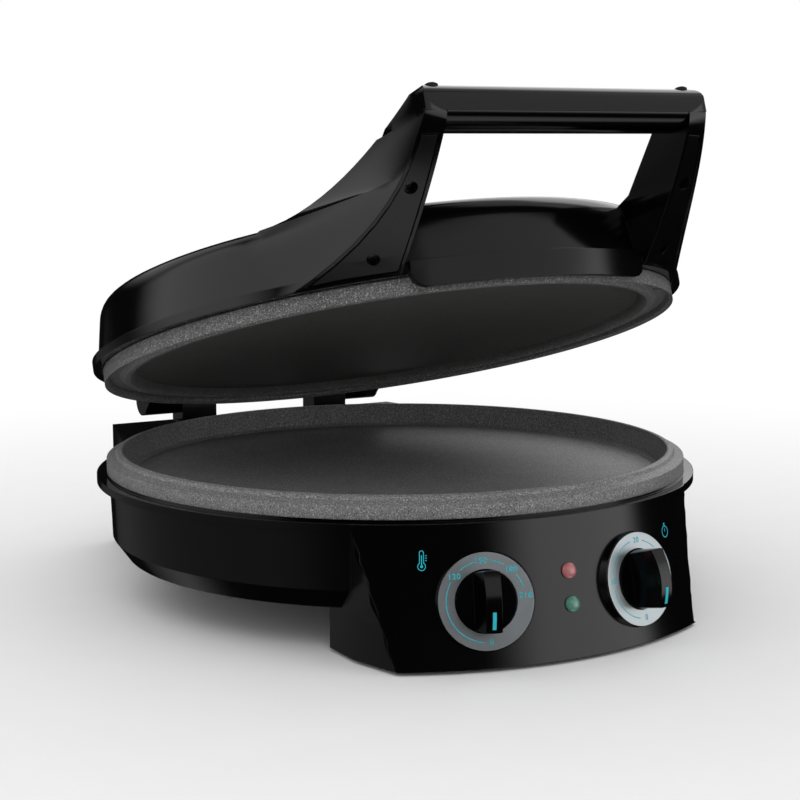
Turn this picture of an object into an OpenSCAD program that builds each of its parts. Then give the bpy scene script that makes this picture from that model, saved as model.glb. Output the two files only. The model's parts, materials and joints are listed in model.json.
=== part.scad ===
// Electric pizza maker: a round lower plate in a bowl with a control box,
// and a hinged lid with a loop handle.
// Origin: on the table, in the middle of the base. X runs to the right, Y to the hinge, Z up.

/* [Overall] */
// Radius of the lower cooking plate at its outer rim
plate_radius = 166; // [158:1:174]
// Height of the base flange's top above the table
rim_height = 72; // [70:1:84]
// Thickness of the moulded housings
wall = 2.5; // [2:0.1:3]
// Height of the rubber feet below the housing
foot_height = 2; // [2:0.5:4]

/* [Base bowl] */
// How far the base flange stands out past the plate
flange_overhang = 6; // [4:0.5:8]
// Thickness of the base flange
flange_thickness = 4.5; // [3:0.5:6]
// How far the bowl's wall lies inside the plate's rim
bowl_inset = 1; // [0:0.5:2]
// Height of the raised ring under the plate's rim
ring_height = 1.1; // [0.5:0.1:2]
// Depth from the flange's top to the start of the chamfer
bowl_depth = 35.7; // [30:0.1:38]
// How much the bowl's wall tapers in over its depth
bowl_taper = 1.2; // [0:0.1:3]
// Height of the chamfer band
chamfer_height = 10.5; // [6:0.5:14]
// How far the chamfer band runs in
chamfer_inset = 7.6; // [4:0.2:10]
// Width of the ledge that carries the reflector and plate
ledge_width = 25; // [22:1:28]
// Depth of the ledge's top below the flange's top
ledge_depth = 13; // [12:0.5:15]

/* [Control box] */
// Half angle of the front panel at its top edge
panel_top_angle = 35.8; // [33:0.1:38]
// Half angle of the front panel at its bottom edge
panel_bottom_angle = 28.6; // [26:0.1:31]
// How much further out the panel stands at its bottom
panel_flare = 15.1; // [8:0.1:20]
// How far the panel's centre of curvature lies behind the plate's centre
panel_axis_shift = 4; // [0:0.5:8]
// How far the middle of the panel's height is drawn in
panel_sag = 1; // [0:0.5:4]
// Depth of the slanted part of each side of the box
side_depth = 29.6; // [24:0.2:36]
// How much wider the box grows over that slanted part
side_flare = 7.6; // [3:0.2:12]
// Depth of the straight rear part of each side of the box
box_tail = 26.4; // [20:0.2:34]
// Thickness of the screwed covers under the base
cover_thickness = 2; // [1.5:0.5:3]

/* [Rear box] */
// Half width of the rear box at its back face
rear_half_width = 102; // [98:1:110]
// How much wider the rear box is where it meets the flange
rear_flare = 14; // [4:1:18]
// How far the rear box reaches behind the hinge axis
rear_overhang = 8.5; // [8.5:0.5:10]
// Height of the rear box's top above the flange's top
rear_rise = 5; // [2:0.5:8]
// Radius of the hole through the cord gland
gland_bore = 3.6; // [3:0.1:4]

/* [Hinge] */
// Distance of the hinge axis behind the flange's edge
hinge_setback = 13; // [12:0.5:15]
// Height of the hinge axis above the flange's top
hinge_rise = 20; // [19:0.5:26]
// Height of the lid's flange above the base's flange with the lid shut
lid_gap = 18.95; // [18.5:0.05:26]
// How far the lid stands open at rest, in degrees
open_angle = 17.5; // [0:0.5:60]
// Radius of the hinge pins
pin_radius = 3; // [2.6:0.1:4]
// Radius of the bore through the hinge pins
pin_bore = 2; // [1.7:0.1:2.1]
// Radial clearance of the pins in the lid's legs
pin_clearance = 0.05; // [0.02:0.01:0.1]
// Inner end of each base lug, from the centre
lug_inner = 36; // [32:1:40]
// Outer end of each base lug, from the centre
lug_outer = 60; // [56:1:62]
// Outer end of each lid leg, from the centre
leg_outer = 85; // [83:1:88]
// Side clearance between lug and leg
leg_clearance = 0.5; // [0.3:0.1:1]
// Radius of the lid legs round the pin
leg_radius = 9.5; // [8:0.5:10]
// Radius of the base lugs round the pin
lug_radius = 8.5; // [7:0.5:8.5]

/* [Lid] */
// How far the lid's flange stands out past the plate
lid_overhang = 4.5; // [3:0.5:6]
// Thickness of the lid's flange
lid_flange_thickness = 5; // [3:0.5:6]
// Height of the lid's shoulder above its flange's underside
lid_height = 38; // [36:0.5:42]
// How much the lid's wall tapers in over its height
lid_taper = 3.6; // [2:0.1:5]
// Rise of the lid's top from its shoulder to its centre
lid_crown = 3; // [1:0.5:6]
// Half width of the lip at the lid's front
lip_half_width = 70; // [64:1:72]
// How far the lip hangs below the lid's flange
lip_drop = 7.3; // [4:0.1:8]
// Rounding of the lip's lower corners
lip_round = 8; // [4:0.5:9]

/* [Handle] */
// How far the handle's bar reaches out past the base flange
handle_reach = 42; // [38:1:48]
// Height of the bar's top above the lid flange's underside
handle_height = 79; // [75:1:84]
// Depth of the bar from front to back
bar_depth = 28; // [26:1:30]
// Height of the bar
bar_height = 21; // [19:0.5:23]
// Half the length of the bar
bar_half_length = 82; // [81:0.5:84]
// Half the gap between the tops of the two arms
arm_gap = 71; // [70:0.5:72]
// Where each arm's outer edge meets the flange, as an angle from the front
arm_spread = 44.3; // [43:0.1:45]
// Hollow of the arms' outer faces, as a share of their length
arm_hollow = 0.064; // [0.02:0.002:0.08]
// Thickness of the arm covers
arm_cover_thickness = 2; // [1.5:0.1:2.5]
// Width of the arm's rim round its cover
arm_rim = 2.4; // [2:0.1:2.8]
// Height of the pads above the bar
pad_height = 0.8; // [0.6:0.1:2]
// Radius of the pads
pad_radius = 3.5; // [2.5:0.1:4]

/* [Plates] */
// Thickness of the cast plates
plate_thickness = 3; // [2.5:0.1:3.5]
// Height of the lower plate's ridge above the flange's top
ridge_height = 12.4; // [11:0.1:12.6]
// Depth of the baking surface below the flange's top
floor_drop = 1; // [0:0.5:1.5]
// How far the upper plate's rim hangs below the lid's flange
upper_drop = 8.6; // [7:0.1:8.8]
// How far the upper plate's flat centre lies below the lid's flange
upper_floor = 2; // [1:0.5:3]
// Radius of the heating tubes
heater_tube = 3.2; // [2.5:0.1:3.4]
// Radius of the ring that each heating tube forms
heater_ring = 110; // [100:1:120]

/* [Dials] */
// Outer radius of the dial rings
dial_radius = 24; // [22:0.5:25]
// Width of the dial rings
dial_width = 8.2; // [6:0.2:9]
// Angle of the thermostat dial's centre to the left of the panel's middle
thermostat_angle = 14.9; // [13:0.1:16]
// Angle of the timer dial's centre to the right of the panel's middle
timer_angle = 13.7; // [13:0.1:16]
// Depth of the dials' centres below the flange's top
dial_drop = 37.8; // [34:0.1:39]
// How far the rings' faces stand in front of the panel
dial_stand = 4; // [4:0.1:6]
// How far the dials' pedestals widen towards the panel
pedestal_flare = 3; // [0:0.5:4]
// Turn of the thermostat dial's face to the left
thermostat_turn = 19; // [13:1:20]
// Turn of the timer dial's face to the right
timer_turn = 12; // [11:1:18]
// Upward tilt of both dials' faces
dial_tilt = 12.4; // [10:0.2:15]
// Height of the knobs' grips above the rings
grip_height = 17.5; // [14:0.5:20]
// Width of the knobs' grips at their tops
grip_width = 7.5; // [6:0.5:9]
// Radius of the dial shafts
shaft_radius = 3; // [2.5:0.1:3.2]
// Radius of the lamp lenses
lens_radius = 4.1; // [3:0.1:5]
// Depth of the upper lamp below the flange's top
upper_lamp_drop = 27.3; // [25:0.1:30]
// Depth of the lower lamp below the flange's top
lower_lamp_drop = 43.7; // [41:0.1:47]

/* [Hidden] */
$fn = 96;
e = 0.01;

// Clearances
seat_gap = 0.1;
side_gap = 0.3;
press_gap = 0.02;
thread_gap = 0.05;

// Fasteners and sheet metal
screw_r = 1.5;
head_r = 3;
head_h = 1.6;
boss_r = 4;
sheet = 0.8;
lead_r = 1.5;

// Base
flange_r = plate_radius + flange_overhang;
bowl_top_r = plate_radius - bowl_inset;
bowl_low_r = bowl_top_r - bowl_taper;
bowl_floor_r = bowl_low_r - chamfer_inset;
bowl_low_z = rim_height - bowl_depth;
bowl_floor_z = bowl_low_z - chamfer_height;
flange_z = rim_height - flange_thickness;
ledge_z = rim_height - ledge_depth;
ledge_under_z = ledge_z - wall;
ledge_inner_r = bowl_top_r - wall - ledge_width;
plate_boss_circle = ledge_inner_r + boss_r + 1.5;
plate_screw_angles = [45, 135, 225, 315];
bottom_lip = 10;
bottom_rebate_r = bowl_floor_r - wall;
bottom_screw_circle = bowl_floor_r - 6;
bottom_screw_angles = [64, 90, 116, 244, 270, 296];
floor_z = rim_height - floor_drop;
plate_under_z = floor_z - plate_thickness;

// Control box
corner_bottom = on_panel(panel_axis_shift + flange_r + panel_flare, panel_bottom_angle);
corner_top = on_panel(panel_axis_shift + flange_r, panel_top_angle);
side_knee = corner_bottom + [side_flare, side_depth];
side_tail = side_knee + [0, box_tail];
window_top_z = ledge_under_z - 0.5;
panel_rows = 5;

// Hinge and rear box
hinge_y = flange_r + hinge_setback;
hinge_z = rim_height + hinge_rise;
rear_y = hinge_y + rear_overhang;
rear_top_z = rim_height + rear_rise;
rear_front_half = rear_half_width + rear_flare;
lead_x = lug_inner + 4;
pin_inner = lead_x + 4;
pin_outer = leg_outer - 9;
gland_x = 60;
gland_z = foot_height + 18;
gland_neck_r = gland_bore + 2.5;

// Lid, in its own frame: z = 0 at the underside of its flange, lid shut
lid_z = rim_height + lid_gap;
lid_hinge_z = hinge_z - lid_z;
lid_flange_r = plate_radius + lid_overhang;
lid_wall_r = plate_radius + 1;
lid_shoulder_r = lid_wall_r - lid_taper;
shoulder_start_z = lid_height - 11;
plate_collar_r = plate_radius - 2.4;
upper_ledge_z = 9.6;
lip_top_z = lid_flange_thickness + 1.5;
lip_thickness = 2.8;
upper_back_z = plate_thickness - upper_floor;
groove_r = plate_radius - 7;

// Handle, in the lid's frame
bar_front = -(flange_r + handle_reach);
bar_back = bar_front + bar_depth;
bar_bottom = handle_height - bar_height;
bar_split = bar_bottom + 6;
arm_break_z = bar_bottom + 3;
arm_root_y = 18.8 - flange_r;
arm_splay = 3;
arm_bow = 3.7;
arm_foot = on_circle(flange_r - 2.2, arm_spread);
arm_foot_pull = arm_foot + [-33.9, -63];
arm_top = [bar_half_length, bar_front];
arm_top_z = bar_split + 1;
arm_top_pull = arm_top + [5.9, 14.9];
crease_top_y = bar_front + 14;
crease_slope = 1.13;
ridge_top = [arm_gap + 7, bar_front + 18, handle_height - 0.6];
ridge_high = ridge_top + [2, 22, -9.5];
ridge_end_angle = 50;
ridge_end = [each on_circle(lid_shoulder_r - 5.4, ridge_end_angle), lid_height];
ridge_low = ridge_end + [-30, -23, 4];
pad_place = [arm_gap + 2.4, bar_front + 6.9];
pad_depth = 2.5;
pad_sink = 1.3;
pad_edge = 0.3;
bar_corner = 8;
bar_heel = 12.5;
arm_inset = 0.2;

// Dials
dial_z = rim_height - dial_drop;
disc_r = dial_radius - dial_width - 0.6;
disc_top = 0.6;
disc_depth = 3.4;
dial_skew = max(abs(thermostat_turn - thermostat_angle), abs(timer_turn - timer_angle));
nut_r = 7.4;
nut_height = 1.6;
seat_top = -dial_stand + nut_r * tan(dial_skew) + 2 * seat_gap;
bush_r = 4.5;
body_front = seat_top - wall - 3;

function on_circle(r, angle) = [r * sin(angle), -r * cos(angle)];
function on_panel(r, angle) = [0, panel_axis_shift] + on_circle(r, angle);
function mix(a, b, t) = a + (b - a) * t;
function clamp(t) = max(0, min(1, t));
function bezier2(a, b, c, t) = mix(mix(a, b, t), mix(b, c, t), t);
function bezier3(a, b, c, d, t) = mix(bezier2(a, b, c, t), bezier2(b, c, d, t), t);
function share(z) = (z - foot_height) / (rim_height - foot_height);
function panel_r(z) = flange_r + panel_axis_shift + panel_flare * (1 - share(z))
                    - 4 * panel_sag * share(z) * (1 - share(z));
function corner(z) = mix(corner_bottom, corner_top, share(z));
function panel_angle(z) = atan2(corner(z)[0], panel_axis_shift - corner(z)[1]);
function panel_row(i, spare) =
  mix(foot_height, rim_height, i / panel_rows) + (i == 0 ? -spare : i == panel_rows ? spare : 0);
function panel_line(grow, spare) =
  [for (i = [0:panel_rows]) let (z = panel_row(i, spare)) [panel_r(z) + grow, z]];
function panel_face(z) =
  lookup(z, [for (i = [0:panel_rows]) let (row = panel_row(i, 0)) [row, panel_r(row)]]);
function reversed(points) = [for (i = [len(points) - 1:-1:0]) points[i]];

// Shared shapes
module turned(points) {
  rotate_extrude() polygon(points);
}

module tube(outer, inner, h) {
  difference() {
    cylinder(r = outer, h = h);
    translate([0, 0, -1]) cylinder(r = inner, h = h + 2);
  }
}

module around(angles, r) {
  for (a = angles) rotate([0, 0, a]) translate([0, -r, 0]) children();
}

module rod(from, to, r) {
  d = to - from;
  translate(from) rotate([0, acos(d[2] / norm(d)), atan2(d[1], d[0])]) cylinder(r = r, h = norm(d));
}

// Solid through a stack of outlines that all have as many points
module loft(rings) {
  n = len(rings[0]);
  last = len(rings) - 1;
  polyhedron(
    points = [for (ring = rings) each ring],
    faces = concat(
      [[for (i = [0:n - 1]) i]],
      [for (k = [0:last - 1], i = [0:n - 1]) let (j = (i + 1) % n)
        each [[k * n + i, (k + 1) * n + i, (k + 1) * n + j], [k * n + i, (k + 1) * n + j, k * n + j]]],
      [[for (i = [n - 1:-1:0]) last * n + i]]
    ),
    convexity = 6
  );
}

function unit(v) = v / norm(v);
function course(points, i) =
  i == 0 ? unit(points[1] - points[0]) :
  i == len(points) - 1 ? unit(points[i] - points[i - 1]) :
  unit(unit(points[i] - points[i - 1]) + unit(points[i + 1] - points[i]));

// Insulated wire along a route, with eight sides
module lead(points, r) {
  loft([for (i = [0:len(points) - 1]) let (
      d = course(points, i), u = unit(cross(d, [1, 2, 3])), v = cross(d, u))
    [for (k = [0:7]) points[i] + r * (cos(45 * k) * u + sin(45 * k) * v)]]);
}

function mirrored(points) = [for (i = [len(points) - 1:-1:0]) [-points[i][0], points[i][1]]];
function lifted(points, z) = [for (p = points) [p[0], p[1], z]];

// Moves the lid's own frame to its place, with the lid open at its rest angle
module on_lid() {
  translate([0, hinge_y, hinge_z])
    rotate([-open_angle, 0, 0])
      translate([0, -hinge_y, -lid_hinge_z]) children();
}

// Moves a dial's own frame to its place: Z runs out of the panel, z = 0 at the ring's face
module on_dial(side) {
  turn = side < 0 ? thermostat_turn : timer_turn;
  centre = on_panel(panel_r(dial_z), side < 0 ? -thermostat_angle : timer_angle);
  translate([centre[0], centre[1], dial_z])
    rotate([90 - dial_tilt, 0, side * turn])
      translate([0, 0, dial_stand]) children();
}

// Moves to the middle of the panel at a height, with Z running out of the panel
module on_panel_middle(z) {
  low = panel_face(z - lens_radius);
  high = panel_face(z + lens_radius);
  translate([0, panel_axis_shift - (low + high) / 2, z])
    rotate([90 - atan((low - high) / (2 * lens_radius)), 0, 0]) children();
}

// Base shapes
module panel_solid(grow) {
  translate([0, panel_axis_shift, 0])
    turned(concat([[0, foot_height - 2]], panel_line(grow, 2), [[0, rim_height + 2]]));
}

module panel_shell(front, back, spare) {
  translate([0, panel_axis_shift, 0])
    turned(concat(panel_line(front, spare), reversed(panel_line(-back, spare))));
}

// Wedge between the panel's two side edges
module panel_wedge(gap) {
  reach = 1.25 * (flange_r + panel_flare);
  trim = atan(gap / flange_r);
  loft([for (i = [0:panel_rows]) let (z = panel_row(i, 1.5), half = panel_angle(z) - trim)
    lifted([[0, panel_axis_shift], on_panel(reach, -half), on_panel(reach, half)], z)]);
}

// Sides and back of the control box, open past the panel
module control_sides(inset, low_z, high_z) {
  steps = 3;
  loft([for (i = [0:steps]) let (
      z = mix(low_z, high_z, i / steps),
      far = side_knee + (corner(z) - side_knee) * 2.5,
      right = [[far[0] - inset, -flange_r - 60], [far[0] - inset, far[1]],
               [side_knee[0] - inset, side_knee[1]], side_tail - [inset, inset]])
    lifted(concat(right, mirrored(right)), z)]);
}

module control_form(inset, low_z, high_z) {
  intersection() {
    control_sides(inset, low_z, high_z);
    panel_solid(-inset);
  }
}

module rear_form(inset, low_z, high_z) {
  flare_y = sqrt(pow(flange_r, 2) - pow(rear_front_half, 2));
  right = [[rear_front_half - inset, -side_tail[1] + inset],
           [rear_front_half - inset, flare_y],
           [rear_half_width - inset, rear_y - inset]];
  translate([0, 0, low_z]) linear_extrude(high_z - low_z) polygon(concat(right, mirrored(right)));
}

module bowl_space(inset) {
  turned([[0, bowl_floor_z], [bowl_floor_r - inset, bowl_floor_z], [bowl_low_r - inset, bowl_low_z],
          [bowl_top_r - inset, flange_z], [bowl_top_r - inset, rim_height + 20], [0, rim_height + 20]]);
}

module bowl_wall() {
  rebate_z = bowl_floor_z + cover_thickness + seat_gap;
  turned([
    [bottom_rebate_r, bowl_floor_z],
    [bowl_floor_r, bowl_floor_z],
    [bowl_low_r, bowl_low_z],
    [bowl_top_r, flange_z],
    [flange_r, flange_z],
    [flange_r, rim_height],
    [plate_radius + 0.6, rim_height],
    [plate_radius + 0.6, rim_height + ring_height],
    [bowl_top_r - wall, rim_height + ring_height],
    [bowl_top_r - wall, ledge_z],
    [ledge_inner_r, ledge_z],
    [ledge_inner_r, ledge_under_z],
    [bowl_top_r - wall, ledge_under_z],
    [bowl_low_r - wall, bowl_low_z + 1],
    [bowl_floor_r - wall, rebate_z + wall],
    [bowl_floor_r - bottom_lip, rebate_z + wall],
    [bowl_floor_r - bottom_lip, rebate_z],
    [bottom_rebate_r, rebate_z]
  ]);
}

module hinge_lug() {
  translate([lug_inner, hinge_y, hinge_z])
    rotate([0, 90, 0]) cylinder(r = lug_radius, h = lug_outer - lug_inner);
  translate([lug_inner, hinge_y - lug_radius, rear_top_z - wall])
    cube([lug_outer - lug_inner, 2 * lug_radius, hinge_z - rear_top_z + wall]);
}

// Screw bosses under the base: place and the height of what each one hangs from
right_bosses = [
  [each on_circle(bowl_top_r + 0.5, 28.1), flange_z], [each on_circle(ledge_inner_r + 11.3, 36.3), ledge_z],
  [each on_circle(ledge_inner_r + 15, 141.9), ledge_z], [rear_half_width - 12, rear_y - 13.5, rear_top_z]
];
boss_places = [for (b = right_bosses, side = [-1, 1]) [side * b[0], b[1], b[2]]];
right_feet = [corner_bottom + [-25.5, 31.8], [rear_half_width - 28, rear_y - 33.5]];
foot_places = [for (f = right_feet, side = [-1, 1]) [side * f[0], f[1]]];
foot_r = 8;
stem_r = 3;
cover_top_z = foot_height + cover_thickness;
boss_start_z = cover_top_z + seat_gap;
screw_depth = 8;

module base_shell() {
  bowl_wall();
  difference() {
    control_form(0, foot_height, flange_z + e);
    control_form(wall, foot_height - 1, flange_z + 1);
    bowl_space(0.8);
  }
  difference() {
    rear_form(0, foot_height, rear_top_z);
    difference() {
      rear_form(wall, foot_height - 1, rear_top_z - wall);
      translate([0, 0, flange_z - wall]) cylinder(r = flange_r + wall, h = 60);
    }
    bowl_space(0.8);
    translate([0, 0, rim_height]) cylinder(r = flange_r, h = 60);
  }
  hinge_lug();
  mirror([1, 0, 0]) hinge_lug();
}

// Opening in the bowl's wall towards the control box or the rear box
module bowl_window() {
  half_width = corner_bottom[0] - 9;
  front = wall + 2 - side_tail[1];
  translate([-half_width, front, foot_height - 1])
    cube([2 * half_width, bowl_top_r + 3 - front, window_top_z - foot_height + 1]);
}

module base_housing() {
  color("#101114") difference() {
    union() {
      difference() {
        base_shell();
        for (side = [0, 1]) mirror([0, side, 0]) bowl_window();
        intersection() {
          panel_shell(40, wall + seat_gap, 1);
          panel_wedge(0);
        }
      }
      for (p = boss_places) translate([p[0], p[1], boss_start_z])
        cylinder(r = boss_r, h = p[2] - boss_start_z - 1);
    }
    base_holes();
  }
}

module base_holes() {
  translate([-lead_x, hinge_y, rear_top_z - wall - 1])
    cylinder(r = lead_r + 1, h = hinge_z - rear_top_z + wall + 1);
  for (side = [-1, 1]) translate([side * (lead_x - 2), hinge_y, hinge_z])
    rotate([0, side * 90, 0]) cylinder(r = pin_radius + press_gap, h = lug_outer);
  translate([gland_x, rear_y - wall - 1, gland_z])
    rotate([-90, 0, 0]) cylinder(r = gland_neck_r + seat_gap, h = wall + 2);
  around(plate_screw_angles, plate_boss_circle) translate([0, 0, ledge_under_z - 1])
    cylinder(r = screw_r + thread_gap, h = wall + 2);
  around(bottom_screw_angles, bottom_screw_circle) translate([0, 0, bowl_floor_z])
    cylinder(r = screw_r, h = cover_thickness + wall + 2);
  for (p = boss_places) translate([p[0], p[1], boss_start_z - 1]) cylinder(r = screw_r, h = screw_depth + 2);
}

module front_panel() {
  color("#0e0f12") difference() {
    union() {
      intersection() {
        panel_shell(0, wall, 0);
        panel_wedge(seat_gap);
      }
      for (side = [-1, 1]) on_dial(side) translate([0, 0, seat_top - wall - 2])
        cylinder(r = bush_r + 4, h = wall + 2);
    }
    for (side = [-1, 1]) on_dial(side) translate([0, 0, seat_top - wall - 4])
      cylinder(r = bush_r + seat_gap, h = 20);
    for (drop = [upper_lamp_drop, lower_lamp_drop]) on_panel_middle(rim_height - drop)
      translate([0, 0, -8]) cylinder(r = lens_radius - 0.4, h = 20);
  }
}

// Covers and feet under the base
module bowl_bottom() {
  color("#141518") difference() {
    translate([0, 0, bowl_floor_z]) cylinder(r = bottom_rebate_r - side_gap, h = cover_thickness);
    translate([-plate_radius, side_tail[1] + side_gap - 2 * plate_radius, 0])
      cube([2 * plate_radius, 2 * plate_radius, rim_height]);
    translate([-plate_radius, -side_tail[1] - side_gap, 0])
      cube([2 * plate_radius, 2 * plate_radius, rim_height]);
    around(bottom_screw_angles, bottom_screw_circle) cylinder(r = screw_r + thread_gap, h = rim_height);
  }
}

module cover_holes() {
  for (p = boss_places) translate([p[0], p[1], 0]) cylinder(r = screw_r + thread_gap, h = rim_height / 2);
  for (p = foot_places) translate([p[0], p[1], 0]) cylinder(r = stem_r + seat_gap, h = rim_height / 2);
}

module control_box_cover() {
  color("#141518") difference() {
    control_form(wall + side_gap, foot_height, cover_top_z);
    cover_holes();
  }
}

module rear_box_cover() {
  color("#141518") difference() {
    rear_form(wall + side_gap, foot_height, cover_top_z);
    cover_holes();
  }
}

module screw(length) {
  translate([0, 0, -head_h]) cylinder(r = head_r, h = head_h);
  translate([0, 0, -e]) cylinder(r = screw_r - thread_gap, h = length);
}

module cover_screws() {
  color("#8f9296") {
    for (p = boss_places) translate([p[0], p[1], foot_height - thread_gap])
      screw(cover_thickness + screw_depth);
    around(bottom_screw_angles, bottom_screw_circle) translate([0, 0, bowl_floor_z - thread_gap])
      screw(cover_thickness + wall + 1);
  }
}

module foot(i) {
  color("#1b1b1d") translate([foot_places[i][0], foot_places[i][1], 0]) {
    cylinder(r = foot_r, h = foot_height - thread_gap);
    cylinder(r = stem_r, h = cover_top_z + 1);
  }
}

module foot_front_left() { foot(0); }
module foot_front_right() { foot(1); }
module foot_rear_left() { foot(2); }
module foot_rear_right() { foot(3); }

// Lower plate and what heats it
module lower_plate() {
  ridge_z = rim_height + ridge_height;
  skirt_r = plate_radius + 0.3;
  ridge_r = plate_radius - 7.8;
  floor_r = plate_radius - 16;
  t = plate_thickness;
  color("#5a5c5f") difference() {
    union() {
      turned([
        [0, floor_z],
        [floor_r, floor_z],
        [floor_r + 2.5, floor_z + 1.5],
        [ridge_r - 1.2, ridge_z - 0.3],
        [ridge_r, ridge_z],
        [ridge_r + 2.2, ridge_z - 0.8],
        [ridge_r + 3.2, ridge_z - 2.4],
        [skirt_r, ridge_z - 4.2],
        [skirt_r, rim_height + ring_height + seat_gap],
        [skirt_r - t, rim_height + ring_height + seat_gap],
        [skirt_r - t, ridge_z - 6.8],
        [ridge_r + 2.4, ridge_z - 5.2],
        [ridge_r + 0.2, ridge_z - 5.6],
        [floor_r + 4.2, floor_z - 1.2],
        [floor_r + 1.5, plate_under_z],
        [0, plate_under_z]
      ]);
      around(plate_screw_angles, plate_boss_circle) translate([0, 0, ledge_z + sheet + 2 * seat_gap])
        cylinder(r = boss_r, h = floor_z - 1 - (ledge_z + sheet + 2 * seat_gap));
    }
    around(plate_screw_angles, plate_boss_circle) translate([0, 0, ledge_z])
      cylinder(r = screw_r, h = plate_under_z - ledge_z + 1);
  }
}

// Heating tube with a terminal pin at each end, pointing away from the plate
half_gap = 8;
pin_angle = half_gap + 1.5;
heater_pin = heater_tube - 1;

module heating_tube(end_angle, end_length) {
  difference() {
    rotate_extrude() translate([heater_ring, 0]) circle(r = heater_tube);
    rotate([0, 0, end_angle]) translate([0, -heater_ring, 0])
      cube([2 * heater_ring * sin(half_gap), 10 * heater_tube, 4 * heater_tube], center = true);
  }
  around([end_angle - pin_angle, end_angle + pin_angle], heater_ring)
    translate([0, 0, min(0, end_length)]) cylinder(r = heater_pin, h = abs(end_length));
}

lower_heater_z = plate_under_z - 0.2 - heater_tube;
reflector_z = ledge_z - 6.4;
lower_ends_z = reflector_z - 8;

module lower_heater() {
  color("#7d7f82") translate([0, 0, lower_heater_z]) heating_tube(0, lower_ends_z - lower_heater_z);
}

module lower_reflector() {
  rim_z = ledge_z + seat_gap;
  dish_r = ledge_inner_r - 4;
  color("#b9bcc0") difference() {
    turned([
      [0, reflector_z],
      [dish_r - 4, reflector_z],
      [dish_r, rim_z],
      [ledge_inner_r + 15, rim_z],
      [ledge_inner_r + 15, rim_z + sheet],
      [dish_r - 0.5, rim_z + sheet],
      [dish_r - 4.5, reflector_z + sheet],
      [0, reflector_z + sheet]
    ]);
    around(plate_screw_angles, plate_boss_circle) cylinder(r = screw_r + seat_gap, h = rim_height);
    around([-pin_angle, pin_angle], heater_ring) cylinder(r = heater_pin + 0.5, h = rim_height);
  }
}

module lower_plate_screws() {
  color("#8f9296") around(plate_screw_angles, plate_boss_circle)
    translate([0, 0, ledge_under_z - thread_gap]) screw(plate_under_z - ledge_under_z + 0.8);
}

module plate_sensor() {
  color("#a9adb1") translate([0, 0, reflector_z + sheet + seat_gap])
    cylinder(r = 5, h = plate_under_z - reflector_z - sheet - 2 * seat_gap);
}

// Electrical pieces in the base
terminal_place = [-20, hinge_y - 35];
terminal_size = [40, 18, 14];

module terminal_block() {
  color("#d8d5cc") translate([terminal_place[0], terminal_place[1], boss_start_z + terminal_size[2] / 2])
    cube(terminal_size, center = true);
}

module cord_gland() {
  color("#18191b") translate([gland_x, rear_y, gland_z]) rotate([-90, 0, 0]) difference() {
    union() {
      translate([0, 0, seat_gap]) cylinder(r = gland_neck_r + 2, h = gland_flange);
      translate([0, 0, -wall - 6]) cylinder(r = gland_neck_r, h = wall + 7);
    }
    translate([0, 0, -wall - 10]) cylinder(r = gland_bore, h = 30);
  }
}

module base_wiring() {
  top = boss_start_z + terminal_size[2] + seat_gap;
  run_z = bowl_floor_z + cover_thickness + 2 * lead_r;
  ends = on_circle(heater_ring, pin_angle);
  x = terminal_place[0];
  y = terminal_place[1];
  color("#b8452c") {
    lead([[x - 14, y, top], [x - 14, y, top + 5], [x - 16, y + 8, top + 11], [-lead_x, hinge_y - 6, top + 14],
          [-lead_x, hinge_y, top + 20], [-lead_x, hinge_y, hinge_z - 3], [-lead_x - 3, hinge_y, hinge_z],
          [-pin_outer, hinge_y, hinge_z]], lead_r);
    for (side = [-1, 1]) lead([
      [x + 6 * side, y, top], [x + 6 * side, y, top + 3], [x + 6 * side, y - 10, top + 9],
      [x + 6 * side, 100, run_z], [side * 10, 40, run_z], [side * ends[0], ends[1] + 12, run_z],
      [side * ends[0], ends[1] + 3, run_z + 3], [side * ends[0], ends[1], run_z + 8],
      [side * ends[0], ends[1], lower_ends_z - seat_gap]], lead_r);
  }
}

lamp_holder_z = rim_height - (upper_lamp_drop + lower_lamp_drop) / 2;
lamp_spacing = lower_lamp_drop - upper_lamp_drop;
stem_back = 7;

module lamp_holder() {
  color("#e4e1d8") difference() {
    on_panel_middle(lamp_holder_z) translate([0, 0, -wall - 6.6])
      cube([4 * lens_radius, lamp_spacing + 4 * lens_radius, 10], center = true);
    for (drop = [upper_lamp_drop, lower_lamp_drop]) on_panel_middle(rim_height - drop)
      translate([0, 0, -stem_back - 0.5]) cylinder(r = lens_radius - 0.4, h = 20);
  }
}

module lens(drop) {
  rise = 2.6;
  on_panel_middle(rim_height - drop) {
    translate([0, 0, seat_gap]) turned(concat([[0, 0], [lens_radius, 0]],
      [for (a = [0:10:80]) [lens_radius * cos(a), 0.4 + rise * sin(a)]], [[0, 0.4 + rise]]));
    translate([0, 0, -stem_back]) cylinder(r = lens_radius - 0.5, h = stem_back + 0.5);
  }
}

module red_lens() { color("#7a4648") lens(upper_lamp_drop); }
module green_lens() { color("#3a6352") lens(lower_lamp_drop); }

module hinge_pin(side) {
  color("#c9ccd0") translate([side * pin_inner, hinge_y, hinge_z]) rotate([0, side * 90, 0])
    tube(pin_radius, pin_bore, pin_outer - pin_inner);
}

module hinge_pin_left() { hinge_pin(-1); }
module hinge_pin_right() { hinge_pin(1); }

// Dials
module dial_nut() {
  color("#b4b7bb") translate([0, 0, seat_top + seat_gap]) difference() {
    cylinder(r = nut_r, h = nut_height, $fn = 6);
    translate([0, 0, -1]) cylinder(r = bush_r + seat_gap, h = 4);
  }
}

module dial_bush(length) {
  cylinder(r = bush_r, h = length);
}

module shaft_bore() {
  translate([0, 0, body_front - 12]) cylinder(r = shaft_radius + 0.05, h = 40);
}

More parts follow.
